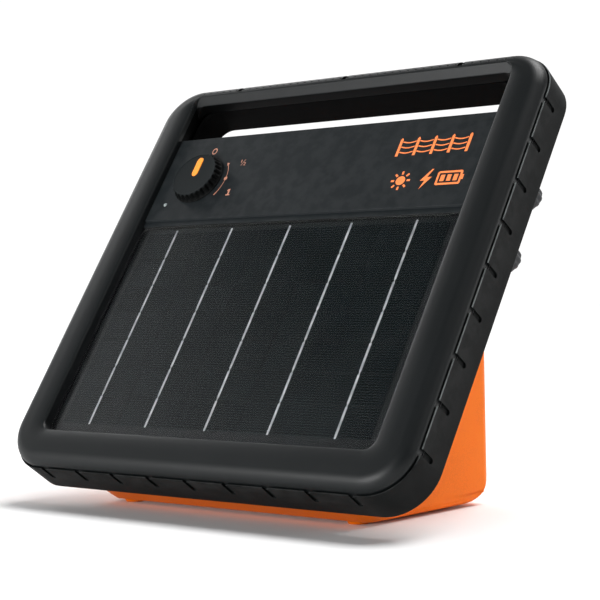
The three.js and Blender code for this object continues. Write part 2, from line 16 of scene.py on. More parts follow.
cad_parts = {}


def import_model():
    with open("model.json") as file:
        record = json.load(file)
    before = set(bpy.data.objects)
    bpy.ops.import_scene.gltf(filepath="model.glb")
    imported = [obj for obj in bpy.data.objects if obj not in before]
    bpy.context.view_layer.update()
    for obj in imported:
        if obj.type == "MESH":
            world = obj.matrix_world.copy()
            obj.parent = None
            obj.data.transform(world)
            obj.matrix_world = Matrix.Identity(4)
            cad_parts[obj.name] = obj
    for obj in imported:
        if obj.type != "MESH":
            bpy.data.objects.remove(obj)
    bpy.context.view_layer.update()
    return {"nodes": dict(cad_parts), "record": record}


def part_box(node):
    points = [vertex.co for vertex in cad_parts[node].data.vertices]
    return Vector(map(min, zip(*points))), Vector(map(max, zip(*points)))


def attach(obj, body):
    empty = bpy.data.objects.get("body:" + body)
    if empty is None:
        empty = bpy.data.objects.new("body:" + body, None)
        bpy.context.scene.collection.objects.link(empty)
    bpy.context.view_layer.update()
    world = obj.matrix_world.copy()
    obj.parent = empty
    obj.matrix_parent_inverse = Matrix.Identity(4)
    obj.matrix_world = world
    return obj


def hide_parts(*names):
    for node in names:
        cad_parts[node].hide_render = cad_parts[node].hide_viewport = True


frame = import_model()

MM = 0.001
SLOPE = math.radians(55)
CELL_MIDDLE_K = -0.3

NODES = frame["nodes"]
SLOT_OF = {part["node"]: part["material_slot"] for part in frame["record"]["subparts"]}


# ---- frames ----

TURN = Matrix.Rotation(SLOPE, 4, "X")


def cell_origin():
    low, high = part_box("cell_string_3")
    return (low + high) / 2 - TURN @ Vector((0, 0, CELL_MIDDLE_K * MM))


ORIGIN = cell_origin()
BODY = Matrix.Translation(ORIGIN)
FACE = BODY @ TURN

Box = namedtuple("Box", "low high")


def box_in(space, node):
    """A CAD node's lowest and highest corners in the face or body frame, in millimetres."""
    back = space.inverted()
    points = [back @ vertex.co / MM for vertex in NODES[node].data.vertices]
    low = Vector([min(point[axis] for point in points) for axis in range(3)])
    high = Vector([max(point[axis] for point in points) for axis in range(3)])
    return Box(low, high)


def middle_of(box):
    return ((box.low.x + box.high.x) / 2, (box.low.y + box.high.y) / 2)


# ---- sizes ----

BEZEL = box_in(FACE, "front_bezel")
HOUSING = box_in(FACE, "rear_housing")
FASCIA = box_in(FACE, "control_fascia")
GLASS = box_in(FACE, "solar_glass")
BACKSHEET = box_in(FACE, "solar_backsheet")
KNOB = box_in(FACE, "mode_knob")
POINTER = box_in(FACE, "knob_pointer")
LENS = box_in(FACE, "led_lens")
BASE = box_in(BODY, "battery_base")

CORNER_STEPS = 14
BEZEL_RADIUS = 30
HOUSING_RADIUS = 31
ROLL = 9
ROLL_FLATTENED = 0.24
LIP = 0.3
WINDOW = {"half": 140.7, "low": -89, "high": 197.4, "radius": 8}
TRAY_TOP = -2
RAISED_TOP = 0.7
HAND_GAP = {"half": 137, "low": 165.6, "high": 197.4, "radius": 12, "low_radius": 2}
CHAMFER = {"low": 4, "high": 203, "radius": 8}
GROOVE = {"width": 3.7, "depth": 1.3, "end": -14, "count": 9, "side": 32.4, "middle": 45.7, "across": 32.6}
NOTCH_DEPTH = 8
GRIP = {"pitch": 6.52, "radius": 1.15, "rows": ((4.0, 0.0), (6.6, 0.5)), "half": 140}
BASE_WINDOW = {"half": 92, "low": -90, "high": 134, "radius": 10}
CASE_SCREWS = [(side * 153, v) for v in (-70, 25, 180) for side in (-1, 1)]
BASE_SCREWS = [(side * 102, v) for v in (-85, 125) for side in (-1, 1)]
TERMINALS = {"fence": 126.5, "earth": 77.5}
TERMINAL_U = 151.5
CELL = {"width": 51.9, "length": 22.3, "pitch_u": 52.4, "pitch_v": 22.7, "top": -0.1, "under": -0.5}
SHAFT_HOLE = 5.5
SHAFT_BORE = 3.3
STUD_HOLE = 3.4
STUD_BORE = 3.3
SCREW_BORE = 1.9
SCREW_SINK = 4.1
BOSS = 4.5
DIAL = Vector(middle_of(KNOB))
LED = Vector(middle_of(LENS))


# ---- shapes: (points, faces) ----

def around(middle, reach, angle):
    return (middle[0] + reach * math.cos(angle), middle[1] + reach * math.sin(angle))


def quarter(steps):
    """Angles from nothing to a right angle, in equal steps."""
    return [step / steps * math.pi / 2 for step in range(steps + 1)]


def rounded(half, low, high, radius, steps=CORNER_STEPS, low_radius=None):
    """A rounded rectangle's outline, turning left from the top of its right side."""
    low_radius = radius if low_radius is None else low_radius
    points = []
    middles = [(half - radius, high - radius, radius), (radius - half, high - radius, radius),
               (low_radius - half, low + low_radius, low_radius),
               (half - low_radius, low + low_radius, low_radius)]
    for turn, (x, y, reach) in enumerate(middles):
        for step in range(steps + 1):
            points.append(around((x, y), reach, (turn + step / steps) * math.pi / 2))
    return points


def circle(radius, middle=(0, 0), sides=32):
    return [around(middle, radius, 2 * math.pi * side / sides) for side in range(sides)]


def shifted(outline, place):
    return [(place[0] + x, place[1] + y) for x, y in outline]


def raised(outline, height):
    return [(x, y, height) for x, y in outline]


def loft(loops, ring=False):
    """Loops of points, each with the same count, skinned one to the next and closed at both ends."""
    count = len(loops[0])
    points = [point for one in loops for point in one]
    steps = [(level, level + 1) for level in range(len(loops) - 1)]
    if ring:
        steps.append((len(loops) - 1, 0))
    faces = []
    for below, above in steps:
        for i in range(count):
            j = (i + 1) % count
            faces.append((below * count + i, below * count + j, above * count + j, above * count + i))
    if not ring:
        faces.append(tuple(reversed(range(count))))
        faces.append(tuple(range(len(points) - count, len(points))))
    return points, faces


def prism(outline, low, high):
    return loft([raised(outline, low), raised(outline, high)])


def frame_of(outer, inner, low, high):
    """A flat frame between two outlines."""
    return loft([raised(outer, low), raised(outer, high), raised(inner, high), raised(inner, low)], ring=True)


def block(left, right, low, high, back, front):
    return prism([(left, low), (right, low), (right, high), (left, high)], back, front)


def turned(profile, middle, sides):
    """A profile of (radius, height) turned about k, with a face across each end."""
    return loft([raised(circle(radius, middle, sides), height) for radius, height in profile])


def drum(radius, low, high, middle, sides=48):
    return turned([(radius, low), (radius, high)], middle, sides)


def across(profile, half):
    """An outline in (v, k), or in (Y, Z), pushed out along X to both sides."""
    return loft([[(side * half, a, b) for a, b in profile] for side in (-1, 1)])


def moved(shape, matrix):
    points, faces = shape
    return [tuple(matrix @ Vector(point)) for point in points], faces


def merged(shapes):
    points = []
    faces = []
    for some_points, some_faces in shapes:
        start = len(points)
        points += some_points
        faces += [tuple(start + i for i in face) for face in some_faces]
    return points, faces


# ---- meshes ----

def link(thing):
    bpy.context.scene.collection.objects.link(thing)


def make(name, shape, space=FACE):
    points, faces = shape
    mesh = bpy.data.meshes.new(name)
    mesh.from_pydata([Vector(point) * MM for point in points], [], faces)
    work = bmesh.new()
    work.from_mesh(mesh)
    bmesh.ops.recalc_face_normals(work, faces=work.faces)
    work.to_mesh(mesh)
    work.free()
    piece = bpy.data.objects.new(name, mesh)
    piece.matrix_world = space
    link(piece)
    return piece


def settle(piece):
    """Applies the piece's modifiers to its mesh."""
    bpy.context.view_layer.update()
    graph = bpy.context.evaluated_depsgraph_get()
    old = piece.data
    piece.data = bpy.data.meshes.new_from_object(piece.evaluated_get(graph))
    piece.modifiers.clear()
    bpy.data.meshes.remove(old)


def carve(piece, operation, shape):
    """Cuts, joins or keeps what a piece shares with a shape given in the piece's own frame."""
    tool = make("tool", shape, piece.matrix_world)
    step = piece.modifiers.new("carve", "BOOLEAN")
    step.operation = operation
    step.solver = "EXACT"
    step.object = tool
    settle(piece)
    bpy.data.objects.remove(tool)


def cut(piece, shape):
    carve(piece, "DIFFERENCE", shape)


def taken_apart(piece):
    """A piece's shape in its own frame; the piece itself is removed."""
    points = [tuple(vertex.co / MM) for vertex in piece.data.vertices]
    faces = [tuple(polygon.vertices) for polygon in piece.data.polygons]
    bpy.data.objects.remove(piece)
    return points, faces


def merge_flats(piece):
    """Joins faces that lie in one plane."""
    step = piece.modifiers.new("flats", "DECIMATE")
    step.decimate_type = "DISSOLVE"
    step.angle_limit = math.radians(0.4)
    settle(piece)


def round_edges(piece, width, segments=2, angle=32, sharp=50):
    """Rounds a piece's sharp edges, and shades its curved faces smoothly."""
    bevel = piece.modifiers.new("round", "BEVEL")
    bevel.width = width * MM
    bevel.segments = segments
    bevel.limit_method = "ANGLE"
    bevel.angle_limit = math.radians(angle)
    bevel.use_clamp_overlap = False
    settle(piece)
    smooth(piece, sharp)


def smooth(piece, angle=50):
    piece.data.shade_smooth()
    piece.data.set_sharp_from_angle(angle=math.radians(angle))
    weigh = piece.modifiers.new("weigh", "WEIGHTED_NORMAL")
    weigh.keep_sharp = True
    weigh.weight = 80
    settle(piece)


def calm(piece, box):
    """Draws any corner that the rounding threw outside the box back among its neighbours."""
    work = bmesh.new()
    work.from_mesh(piece.data)
    for vertex in work.verts:
        place = vertex.co / MM
        outside = any(place[axis] > box.high[axis] + 0.02 or place[axis] < box.low[axis] - 0.02
                      for axis in range(3))
        if outside:
            near = [edge.other_vert(vertex).co for edge in vertex.link_edges]
            vertex.co = sum(near, Vector()) / len(near)
    work.to_mesh(piece.data)
    work.free()


def finish(piece, node, material, body="root"):
    """Puts a finished piece on its body, in the place of its CAD node, with that node's finish."""
    piece.data.transform(piece.matrix_world)
    piece.matrix_world = Matrix.Identity(4)
    piece.data.materials.clear()
    piece.data.materials.append(material)
    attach(piece, body)
    if node:
        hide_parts(node)


def smooth_piece(name, shape, node, material, angle=50, body="root"):
    piece = make(name, shape)
    smooth(piece, angle)
    finish(piece, node, material, body)


# ---- material tools ----

class Nodes:
    """A node tree whose nodes are added one call at a time."""

    def __init__(self, tree):
        self.tree = tree

    def join(self, value, socket):
        if isinstance(value, bpy.types.NodeSocket):
            self.tree.links.new(value, socket)
        elif isinstance(value, tuple) and len(value) == 3 and socket.type == "RGBA":
            socket.default_value = (*value, 1)
        else:
            socket.default_value = value

    def node(self, kind, inputs=None, **settings):
        """A new node with these settings, its inputs joined to sockets or set to values."""
        node = self.tree.nodes.new("ShaderNode" + kind)
        for name, value in settings.items():
            setattr(node, name, value)
        for name, value in (inputs or {}).items():
            self.join(value, node.inputs[name])
        return node

    def ramp(self, value, start, first, end, last):
        node = self.node("ValToRGB", {"Fac": value})
        for element, place, colour in zip(node.color_ramp.elements, (start, end), (first, last)):
            element.position = place
            element.color = (*colour, 1)
        return node.outputs["Color"]


class Surface(Nodes):
    """A Principled material, whose textures lie in the face frame."""

    def __init__(self, name, colour, roughness, metallic=0.0):
        self.material = bpy.data.materials.new(name)
        self.material.use_nodes = True
        super().__init__(self.material.node_tree)
        self.shader = self.tree.nodes["Principled BSDF"]
        self.paint(colour)
        self.set("Roughness", roughness)
        self.set("Metallic", metallic)
        own = self.node("TexCoord").outputs["Object"]
        self.place = self.node("Mapping", {"Vector": own, "Location": ORIGIN, "Rotation": (SLOPE, 0, 0)},
                               vector_type="TEXTURE").outputs["Vector"]

    def noise(self, size, detail=3.0, stretch=None, rough=0.55):
        """Noise from 0 to 1 whose blobs are about size millimetres across."""
        place = self.place
        if stretch:
            place = self.node("Mapping", {"Vector": place, "Scale": stretch}).outputs["Vector"]
        node = self.node("TexNoise", {"Scale": 1 / (size * MM), "Detail": detail, "Roughness": rough,
                                      "Vector": place})
        return node.outputs["Fac"]

    def cells(self, size):
        return self.node("TexVoronoi", {"Scale": 1 / (size * MM), "Vector": self.place}).outputs["Distance"]

    def math(self, operation, a, b=0.0, clamp=False):
        return self.node("Math", {0: a, 1: b}, operation=operation, use_clamp=clamp).outputs[0]

    def times(self, *values):
        product = values[0]
        for value in values[1:]:
            product = self.math("MULTIPLY", product, value)
        return product

    def size(self, value):
        return self.math("ABSOLUTE", value)

    def distance(self, a, b):
        return self.size(self.math("SUBTRACT", a, b))

    def less(self, value, limit):
        """1 where the value is below a limit in millimetres."""
        return self.math("LESS_THAN", value, limit * MM)

    def spaced(self, along, pitch, shift=0.0):
        """How far a place is from the nearest of marks that stand a pitch apart."""
        turn = self.math("FRACT", self.math("ADD", self.math("DIVIDE", along, pitch * MM), 0.5 + shift))
        return self.times(self.distance(turn, 0.5), pitch * MM)

    def ripple(self, along, pitch):
        """Waves from 0 to 1 along one axis."""
        return self.size(self.math("SINE", self.times(along, math.pi / (pitch * MM))))

    def step(self, along, middle, pitch):
        """Which cell of a grid a place is in, counted along one axis."""
        start = self.math("ADD", along, middle * pitch * MM)
        return self.math("FLOOR", self.math("DIVIDE", start, pitch * MM))

    def range(self, value, low, high, to_low=0.0, to_high=1.0):
        limits = {"Value": value, "From Min": low, "From Max": high, "To Min": to_low, "To Max": to_high}
        return self.node("MapRange", limits, interpolation_type="SMOOTHSTEP").outputs[0]

    def mix(self, factor, a, b):
        return self.node("Mix", {0: factor, 6: a, 7: b}, data_type="RGBA").outputs[2]

    def axes(self):
        return self.node("SeparateXYZ", {0: self.place}).outputs

    def edges(self):
        """1 along outward edges, from the mesh's pointiness."""
        return self.range(self.node("NewGeometry").outputs["Pointiness"], 0.515, 0.56)

    def set(self, name, value):
        self.join(value, self.shader.inputs[name])

    def paint(self, colour):
        self.set("Base Color", colour)

    def gloss(self, size, detail, low, high):
        """A roughness that wanders between two values."""
        self.set("Roughness", self.range(self.noise(size, detail), 0.3, 0.7, low, high))

    def bump(self, height, depth, strength, over=None):
        """Relief up to that many millimetres deep, laid over another bump where one is given."""
        node = self.node("Bump", {"Strength": strength, "Distance": depth * MM, "Height": height})
        if over:
            self.join(over, node.inputs["Normal"])
        self.set("Normal", node.outputs["Normal"])
        return node.outputs["Normal"]


def shade(colour, factor):
    return tuple(channel * factor for channel in colour)


def srgb(red, green, blue):
    """A colour given as 0 to 255 screen values, as linear light."""
    return tuple((value / 255 / 12.92) if value < 11 else ((value / 255 + 0.055) / 1.055) ** 2.4
                 for value in (red, green, blue))


# ---- materials ----

def grip_dots(look):
    """1 inside the small dimples in two staggered rows along the handle's top edge, used for their relief and
    for the shade painted in them.
    """
    u, v, _ = look.axes()
    rows = []
    for inset, shift in GRIP["rows"]:
        beside = look.spaced(u, GRIP["pitch"], shift)
        along = look.distance(v, (BEZEL.high.y - inset) * MM)
        reach = look.math("SQRT", look.math("ADD", look.times(beside, beside), look.times(along, along)))
        rows.append(look.range(reach, GRIP["radius"] * 0.55 * MM, GRIP["radius"] * MM, 1, 0))
    return look.times(look.math("MAXIMUM", *rows), look.less(look.size(u), GRIP["half"]))


def notch_painted_shade(look):
    """1 inside the three notches of the top edge, where shade is painted."""
    u, v, _ = look.axes()
    inside = look.less(look.spaced(u, 3 * GROOVE["across"]), GROOVE["width"] / 2 + 0.1)
    high = look.math("GREATER_THAN", v, (BEZEL.high.y - NOTCH_DEPTH) * MM)
    return look.times(inside, look.less(look.size(u), GRIP["half"]), high)


def hand_gap_painted_shade(look):
    """1 on the walls of the hand gap, below the handle's sloping flat, where shade is painted."""
    u, v, k = look.axes()
    middle = (HAND_GAP["high"] + HAND_GAP["low"]) / 2
    reach = (HAND_GAP["high"] - HAND_GAP["low"]) / 2 + 0.7
    within = look.less(look.size(u), HAND_GAP["half"] + 4)
    beside = look.less(look.distance(v, middle * MM), reach)
    return look.times(look.less(k, CHAMFER["low"] - 0.4), within, beside)


def rim_highlight(look):
    """1 along the thin rim of the skirt, beside the bezel, above its lower corners, where a highlight is
    painted.
    """
    _, v, k = look.axes()
    return look.times(look.range(k, -1.7 * MM, -1.3 * MM), look.range(v, -95 * MM, -75 * MM))


def moulded(name, colour, roughness, grain=0.5, grain_depth=0.02, edge_wear_and_highlight=0.25, dust=0.0,
            specular=0.4, dots=False, rim=None, face=None, painted_low_shade=False, paints_shade=False):
    """Moulded plastic: fine spark-eroded grain, handling marks, faded patches, and lighter edges that are
    partly wear and partly painted highlight; options add painted shade low on the front, in the hand gap,
    dimples and notches, a painted highlight along the rim and a painted-lit flat face.
    """
    look = Surface(name, colour, roughness)
    speckle = look.noise(0.8, 2)
    body = look.mix(look.range(look.noise(60, 4), 0.3, 0.7), shade(colour, 0.95), shade(colour, 1.06))
    body = look.mix(look.range(speckle, 0.35, 0.75, 0, 0.25), body, shade(colour, 1.5))
    # Lighter outward edges: partly wear, partly a painted highlight along the edges.
    edge_wear_and_highlight_mask = look.times(look.edges(), look.range(look.noise(9), 0.35, 0.65, 0.25, 1), edge_wear_and_highlight)
    body = look.mix(edge_wear_and_highlight_mask, body, tuple(min(1.0, channel * 1.5 + 0.035) for channel in colour))
    if dust:
        film = look.times(look.range(look.noise(14, 6, rough=0.7), 0.5, 0.8), dust)
        body = look.mix(film, body, (0.30, 0.28, 0.25))
    # Painted shade: the colour darkens towards the base's lower front, under the overhanging case, where
    # shadow falls.
    if painted_low_shade:
        low_shade_mask = look.range(look.axes()[1], -112 * MM, -92 * MM, 0.45, 1)
        body = look.mix(low_shade_mask, (0, 0, 0), body)
    # Painted light: the knob's flat top takes a lighter black than its near-black sides, as lit and darker
    # copies of one plastic.
    if face:
        flat = look.range(look.axes()[2], (KNOB.high.z - 0.6) * MM, (KNOB.high.z - 0.4) * MM)
        body = look.mix(flat, body, face)
    # Painted highlight: a light line along the skirt's rim, broken into patches by noise.
    if rim:
        rim_highlight_patches = look.range(look.noise(12), 0.3, 0.6, 0.45, 1)
        body = look.mix(look.times(rim_highlight(look), rim_highlight_patches), body, rim)
    look.set("Specular IOR Level", specular)
    coarse = look.bump(look.noise(25, 2), 0.01, 0.05)
    # Painted shade: near-black colour and weak specular on the hand gap's walls. Where dots are on, the
    # dimples and notches get the same.
    if paints_shade:
        painted_shade = hand_gap_painted_shade(look)
        if dots:
            # The dimples get both a bump and painted shade.
            dimples = grip_dots(look)
            painted_shade = look.math("MAXIMUM", painted_shade, look.math("MAXIMUM", dimples, notch_painted_shade(look)))
            coarse = look.bump(look.math("SUBTRACT", 1, dimples), 0.7, 1, over=coarse)
        body = look.mix(look.times(painted_shade, 0.9), body, (0.001, 0.001, 0.001))
        look.set("Specular IOR Level", look.range(painted_shade, 0, 1, specular, specular * 0.1))
    look.paint(body)
    smears = look.range(look.noise(22, 5, stretch=(1, 0.45, 1)), 0.3, 0.75, -0.02, 0.02)
    fine = look.range(speckle, 0.3, 0.7, -0.03, 0.03)
    look.set("Roughness", look.math("ADD", look.math("ADD", smears, fine), roughness, clamp=True))
    look.bump(look.math("ADD", look.noise(grain), look.cells(grain * 1.6)), grain_depth, 0.6, over=coarse)
    return look.material


def rubber(name, colour):
    look = Surface(name, colour, 0.82)
    mottle = look.noise(6, 4)
    look.paint(look.mix(mottle, shade(colour, 0.75), shade(colour, 1.6)))
    look.gloss(2, 3, 0.74, 0.9)
    look.bump(look.noise(0.6, 2), 0.03, 0.6)
    return look.material


def brushed(name, colour, roughness, stretch=(1, 14, 1)):
    """Machined or drawn metal: fine lines one way, dull patches and a little tarnish."""
    look = Surface(name, colour, roughness, metallic=1.0)
    lines = look.noise(0.9, 3, stretch=stretch)
    tarnish = look.range(look.noise(7, 5), 0.45, 0.75, 0, 0.6)
    look.paint(look.mix(tarnish, colour, shade(colour, 0.62)))
    look.set("Roughness", look.range(lines, 0.3, 0.7, roughness * 0.75, roughness * 1.5))
    look.bump(lines, 0.02, 0.5)
    return look.material


def wound(name, colour, pitch, axis):
    """Enamelled wire laid turn beside turn along one axis."""
    look = Surface(name, colour, 0.32, metallic=0.85)
    turns = look.ripple(look.axes()[axis], pitch)
    look.paint(look.mix(look.range(turns, 0, 0.5), shade(colour, 0.25), colour))
    look.gloss(3, 3, 0.25, 0.42)
    look.bump(turns, 0.25, 0.9)
    return look.material


def circuit_board():
    """Green solder mask over copper tracks, with tinned pads."""
    look = Surface("circuit_board", srgb(31, 92, 54), 0.38)
    tracks = look.cells(5)
    mask = look.mix(look.range(tracks, 0.42, 0.5), srgb(26, 78, 46), srgb(46, 120, 70))
    pads = look.range(look.cells(2.4), 0.1, 0.14, 1, 0)
    look.paint(look.mix(pads, mask, srgb(190, 190, 185)))
    look.set("Metallic", look.times(pads, 0.8))
    look.gloss(8, 3, 0.3, 0.48)
    look.bump(look.math("ADD", tracks, pads), 0.06, 0.7)
    return look.material


def laminated_core():
    look = Surface("core_steel", srgb(85, 88, 92), 0.5, metallic=0.8)
    sheets = look.ripple(look.axes()[2], 0.7)
    varnish = look.mix(look.noise(10, 4), srgb(60, 60, 64), srgb(112, 112, 114))
    look.paint(look.mix(look.range(sheets, 0, 0.3), srgb(22, 22, 24), varnish))
    look.gloss(4, 3, 0.4, 0.62)
    look.bump(sheets, 0.1, 0.8)
    return look.material


def clear_glass():
    """The panel's cover: clear, with a faint unevenness and a little dust on its gloss."""
    look = Surface("solar_glass", (0.96, 0.98, 0.98), 0.06)
    look.set("Transmission Weight", 1.0)
    look.set("IOR", 1.45)
    look.set("Roughness", look.range(look.noise(35, 5), 0.35, 0.75, 0.09, 0.12))
    look.paint(look.mix(look.noise(80), (0.93, 0.95, 0.95), (0.97, 0.98, 0.98)))
    look.bump(look.noise(60, 2), 0.01, 0.08)
    return look.material


def silicon():
    """Solar cells: near-black blue silicon with fine printed fingers, each cell a little its own tone."""
    look = Surface("solar_cells", srgb(30, 34, 42), 0.32)
    u, v, _ = look.axes()
    finger = look.distance(look.math("FRACT", look.math("DIVIDE", v, 1.9 * MM)), 0.5)
    printed = look.range(finger, 0.06, 0.17, 1, 0)
    place = look.math("ADD", look.times(look.step(u, 2.5, CELL["pitch_u"]), 12.9),
                      look.times(look.step(v, 3.5, CELL["pitch_v"]), 78.2))
    tone = look.math("FRACT", look.times(look.math("SINE", place), 43.7))
    body = look.mix(tone, srgb(5, 10, 10), srgb(9, 16, 17))
    grain = look.range(look.noise(7, 5, rough=0.7), 0.35, 0.7)
    body = look.mix(look.times(grain, 0.12), body, srgb(26, 28, 38))
    look.paint(look.mix(look.times(printed, 0.8), body, srgb(54, 63, 67)))
    look.set("Specular IOR Level", 0.12)
    look.gloss(30, 4, 0.28, 0.42)
    look.bump(printed, 0.01, 0.2)
    return look.material


def tinned():
    look = Surface("tinned_ribbon", srgb(225, 226, 228), 0.42, metallic=0.3)
    dull = look.range(look.noise(2.5, 4, stretch=(1, 0.3, 1)), 0.35, 0.7)
    look.paint(look.mix(dull, srgb(244, 244, 246), srgb(196, 198, 202)))
    look.set("Roughness", look.range(dull, 0, 1, 0.34, 0.55))
    look.bump(look.noise(1.2), 0.05, 0.6)
    return look.material


def ink(name, colour):
    look = Surface(name, colour, 0.5)
    look.paint(look.mix(look.noise(1.2), shade(colour, 0.85), shade(colour, 1.1)))
    look.gloss(3, 2, 0.42, 0.58)
    look.bump(look.noise(0.4, 2), 0.01, 0.5)
    return look.material


def frosted_lens():
    look = Surface("led_lens", srgb(205, 212, 214), 0.25)
    look.set("Transmission Weight", 0.25)
    look.gloss(0.8, 2, 0.18, 0.34)
    look.paint(look.mix(look.noise(1.5, 2), srgb(146, 156, 156), srgb(168, 176, 176)))
    return look.material


BLACK = srgb(13, 16, 17)
ORANGE = srgb(250, 118, 5)


# ---- front bezel ----

def outer_loop(inset, k, box=BEZEL, radius=BEZEL_RADIUS):
    return raised(rounded(box.high.x - inset, box.low.y + inset, box.high.y - inset, radius - inset), k)


def opening(size, grow=0):
    """An opening's outline, made larger by grow on every side."""
    low_radius = size.get("low_radius", size["radius"])
    return rounded(size["half"] + grow, size["low"] - grow, size["high"] + grow, size["radius"] + grow,
                   low_radius=low_radius + grow)


def window_loop(outset, k):
    return raised(opening(WINDOW, outset), k)


def between(first, second, share, k):
    return [(a[0] + (b[0] - a[0]) * share, a[1] + (b[1] - a[1]) * share, k) for a, b in zip(first, second)]


def bezel_ring():
    """The frame's section, from its foot out round the rolled edge, over the crown and down the window."""
    foot = BEZEL.low.z
    top = BEZEL.high.z
    shoulder = top - 0.35
    loops = [outer_loop(LIP, foot), outer_loop(LIP, -0.3), outer_loop(LIP * 0.4, 0.05), outer_loop(0, 0.5)]
    for angle in quarter(12)[1:]:
        inset = ROLL * (1 - math.cos(angle)) + ROLL_FLATTENED * math.sin(2 * angle)
        loops.append(outer_loop(inset, 0.5 + (shoulder - 0.5) * math.sin(angle)))
    crown_start = outer_loop(ROLL, shoulder)
    crown_end = window_loop(1.8, 0)
    for share, drop in ((0.15, 0.2), (0.35, 0.0), (0.55, 0.02), (0.75, 0.25), (0.9, 0.55)):
        loops.append(between(crown_start, crown_end, share, top - drop))
    inner = top - 0.9
    for angle in quarter(4):
        loops.append(window_loop(1.8 * (1 - math.sin(angle)), inner - 1.8 * (1 - math.cos(angle))))
    loops.append(window_loop(0, foot))
    return loft(loops, ring=True)


def chamfer_cutter():
    """The sloping flat along the handle's lower front edge, with round ends."""
    high = CHAMFER["high"]
    outline = rounded(WINDOW["half"], 150, high, CHAMFER["radius"])
    rise = (BEZEL.high.z - CHAMFER["low"]) / (high - WINDOW["high"])
    start = WINDOW["high"] - 12
    piece = make("chamfer", prism(outline, -8, 20))
    above = [(start, CHAMFER["low"] - 12 * rise), (high + 2, BEZEL.high.z + 2 * rise),
             (high + 2, 22), (start, 22)]
    carve(piece, "INTERSECT", across(above, 170))
    return taken_apart(piece)


def front_bezel(material):
    piece = make("bezel_shell", bezel_ring())
    foot = BEZEL.low.z
    lower = prism(rounded(WINDOW["half"] + 2, WINDOW["low"] - 2, 120, 6), foot, TRAY_TOP)
    raised_floor = block(-142, 142, FASCIA.low.y - 0.1, FASCIA.high.y + 0.3, foot, RAISED_TOP)
    carve(piece, "UNION", lower)
    carve(piece, "UNION", raised_floor)
    cut(piece, chamfer_cutter())
    holes = [drum(SHAFT_HOLE, -20, 5, DIAL), drum(1.9, -20, 5, LED)]
    cut(piece, merged(holes))
    round_edges(piece, 0.45)
    calm(piece, BEZEL)
    cut(piece, top_notches())
    smooth(piece, 40)
    finish(piece, "front_bezel", material)


def top_notches():
    """Grooves across the handle's rolled top edge, in line with the housing's; outline in (v, k)."""
    outline = [(-7.8, 7.6), (-7, 4.4), (-4, 0.6), (-1.1, -2), (-1.1, -6), (3, -6), (3, 12), (-7.8, 12)]
    one = across(outline, GROOVE["width"] / 2)
    places = [(step * 3 * GROOVE["across"], BEZEL.high.y, 0) for step in (-1, 0, 1)]
    return merged([moved(one, Matrix.Translation(place)) for place in places])


# ---- rear housing ----

def groove_cutter():
    """A slot facing +u, open at the rim, with a round inner end."""
    half = GROOVE["width"] / 2
    middle = (GROOVE["end"] + half, 0)
    outline = [(4, -half), (4, half)]
    outline += [around(middle, half, math.pi / 2 + step / 8 * math.pi) for step in range(9)]
    points, faces = prism(outline, -GROOVE["depth"], 3)
    return [(height, y, k) for k, y, height in points], faces


def groove_cutters():
    one = groove_cutter()
    middle = (GROOVE["count"] - 1) / 2
    cutters = []
    for i in range(GROOVE["count"]):
        v = GROOVE["middle"] + (i - middle) * GROOVE["side"]
        u = (i - middle) * GROOVE["across"]
        spots = [((HOUSING.high.x, v), 0), ((HOUSING.low.x, v), 180), ((u, HOUSING.low.y), -90)]
        if i % 3 == 1:
            spots.append(((u, HOUSING.high.y), 90))
        for (x, y), turn in spots:
            turned_round = Matrix.Rotation(math.radians(turn), 4, "Z")
            cutters.append(moved(one, Matrix.Translation((x, y, 0)) @ turned_round))
    return merged(cutters)


def housing_cup():
    """The skirt and back as one cup: out from the back, round the rim, and down inside."""
    back = HOUSING.low.z
    rim = HOUSING.high.z
    profile = [(0.9, back), (0.5, back + 0.1), (0.22, back + 0.3), (0.06, back + 0.55), (0, back + 0.9),
               (0, rim - 0.55), (0.08, rim - 0.28), (0.25, rim - 0.08), (0.5, rim), (0.75, rim),
               (0.9, rim - 0.15), (0.9, -6), (3, -6), (3, back + 3)]
    return loft([outer_loop(inset, k, HOUSING, HOUSING_RADIUS) for inset, k in profile])


def rear_housing(material):
    piece = make("housing_shell", housing_cup())
    back = HOUSING.low.z
    lining = prism(opening(HAND_GAP, 3), back + 1, BEZEL.low.z - 0.3)
    bosses = [drum(BOSS, back + 1, -4.8, spot, 24) for spot in CASE_SCREWS]
    bosses += [drum(BOSS, back + 1, -14, spot, 24) for spot in BASE_SCREWS]
    carve(piece, "UNION", merged([lining] + bosses))
    hand_gap = prism(opening(HAND_GAP), back - 1, 0)
    cut(piece, merged([hand_gap, prism(opening(BASE_WINDOW), back - 1, back + 4)]))
    bores = [drum(SCREW_BORE, back - 1, 0, spot, 20) for spot in CASE_SCREWS + BASE_SCREWS]
    bores += [drum(STUD_HOLE, back - 1, 0, (TERMINAL_U, v), 24) for v in TERMINALS.values()]
    cut(piece, merged(bores))
    sinks = [drum(SCREW_SINK, back - 1, back + 3, spot, 32) for spot in CASE_SCREWS]
    cut(piece, merged(sinks))
    cut(piece, groove_cutters())
    round_edges(piece, 0.25, sharp=24)
    finish(piece, "rear_housing", material)


# ---- control fascia and its print ----

def control_fascia(material):
    ledge = 1.7
    step = (89.6, 90.4)
    low, high = FASCIA
    profile = [(low.y, low.z), (high.y, low.z), (high.y, high.z), (step[1], high.z), (step[0], ledge),
               (low.y, ledge)]
    piece = make("fascia_plate", across(profile, high.x))
    holes = [drum(SHAFT_HOLE, -5, 10, DIAL), drum(1.75, -5, 10, LED)]
    cut(piece, merged(holes))
    round_edges(piece, 0.3)
    finish(piece, "control_fascia", material)


PRINT_LOW = FASCIA.high.z + 0.01
PRINT_HIGH = FASCIA.high.z + 0.05


def printed(name, shape, material):
    piece = make(name, shape)
    finish(piece, None, material)


